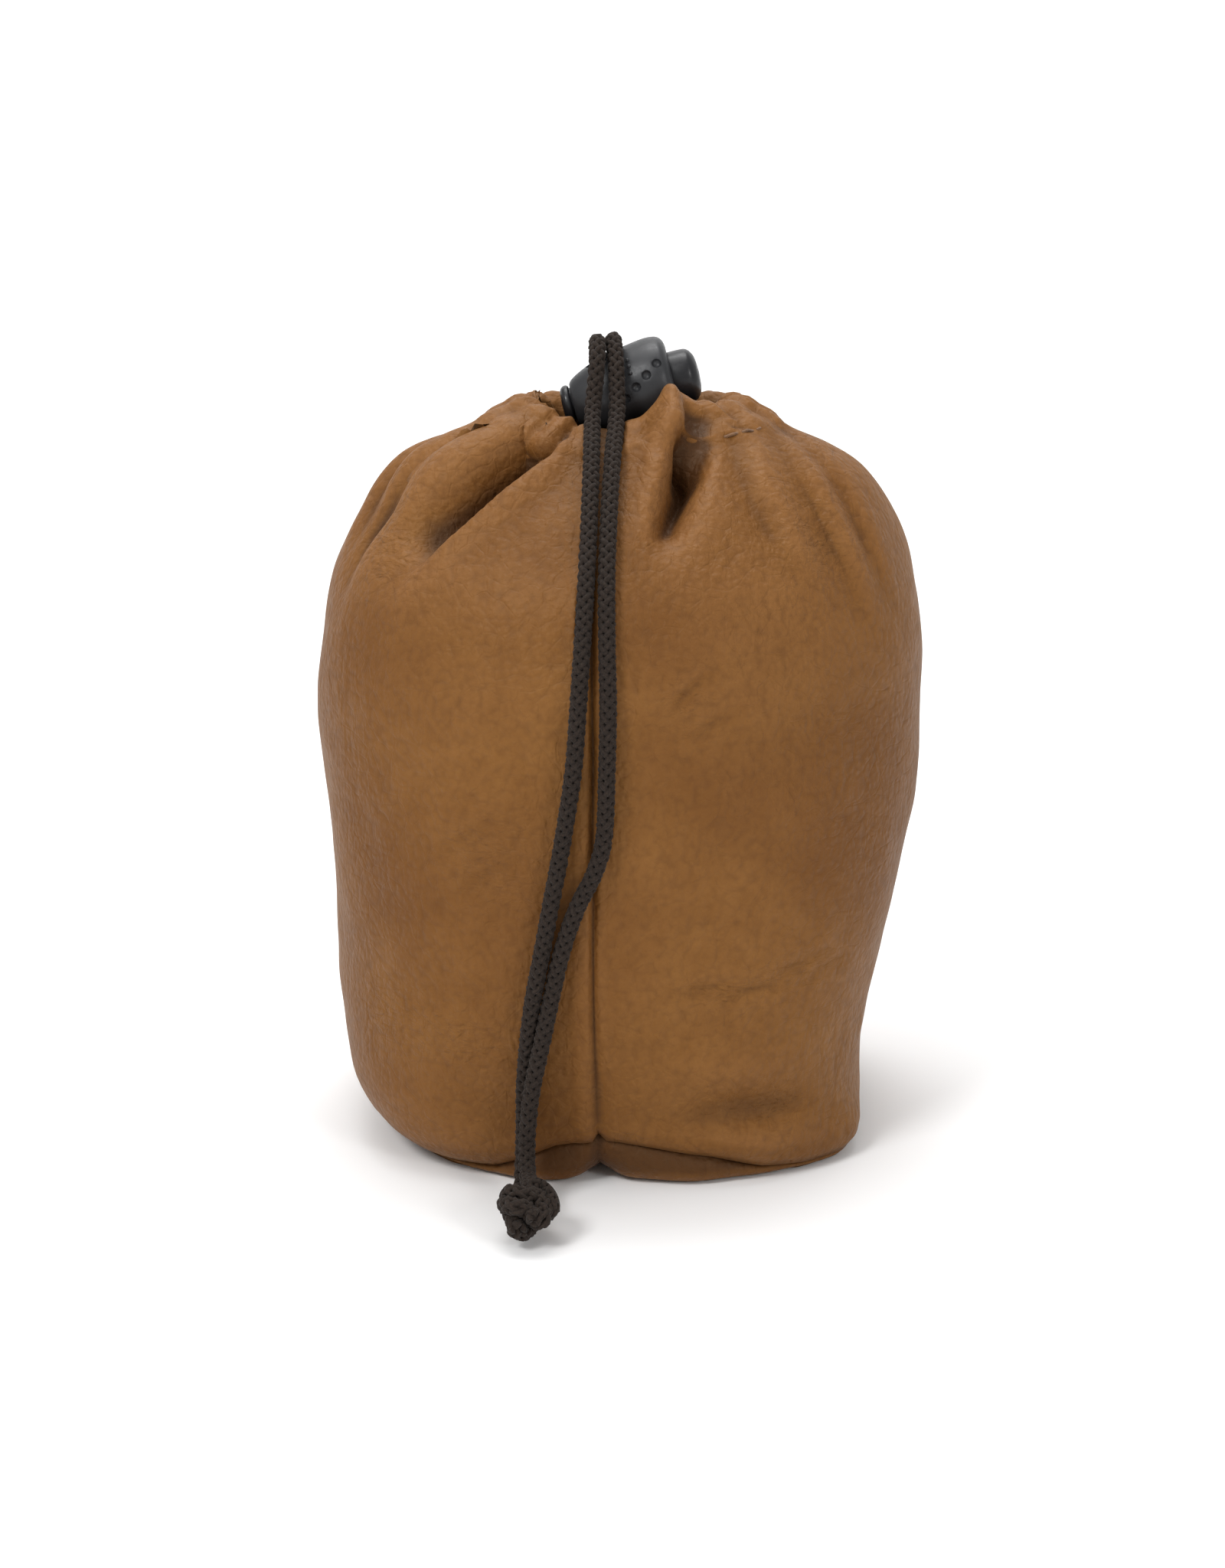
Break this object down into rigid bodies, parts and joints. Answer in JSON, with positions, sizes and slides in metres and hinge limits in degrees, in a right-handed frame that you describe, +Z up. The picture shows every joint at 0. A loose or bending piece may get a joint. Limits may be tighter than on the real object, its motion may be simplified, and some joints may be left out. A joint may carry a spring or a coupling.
{
  "type": "drawstring pouch",
  "caption": "Standing soft leather pouch with a gathered mouth, a braided drawcord with knotted tails and a spring cord lock.",
  "frame": {"origin": "middle of the leather bag's footprint, on the surface it stands on", "axes": "+Z up, the seam side faces -Y, +X to the right seen from the seam side"},
  "size_m": [0.1124, 0.128, 0.147],
  "materials": {
    "leather": "soft grained, satin",
    "cord": "braided",
    "thread": "twisted thread",
    "lock_shell": "moulded, satin",
    "lock_plunger": "moulded, satin",
    "spring": "drawn wire"
  },
  "bodies": {
    "bag": {"base_panel": "leather", "body_panel": "leather", "cord_casing": "leather", "body_seam_thread": "thread", "base_seam_thread": "thread", "casing_thread": "thread", "drawcord_loop": "cord"},
    "cord_lock": {"lock_barrel": "lock_shell", "lock_spring": "spring", "drawcord_tail_left": "cord", "drawcord_tail_right": "cord", "tail_knot": "cord"},
    "plunger": {"lock_plunger": "lock_plunger"}
  },
  "joints": [
    {"name": "lock_slide", "type": "slide", "parent": "bag", "child": "cord_lock", "axis": [-0.2406, -0.1045, 0.965], "range_m": [0, 0.011]},
    {"name": "plunger_press", "type": "slide", "parent": "cord_lock", "child": "plunger", "axis": [-0.9703, 0, -0.2419], "range_m": [0, 0.003], "stiffness_N_per_m": 900, "springref_m": -0.002, "deforming": ["lock_spring"]}
  ]
}
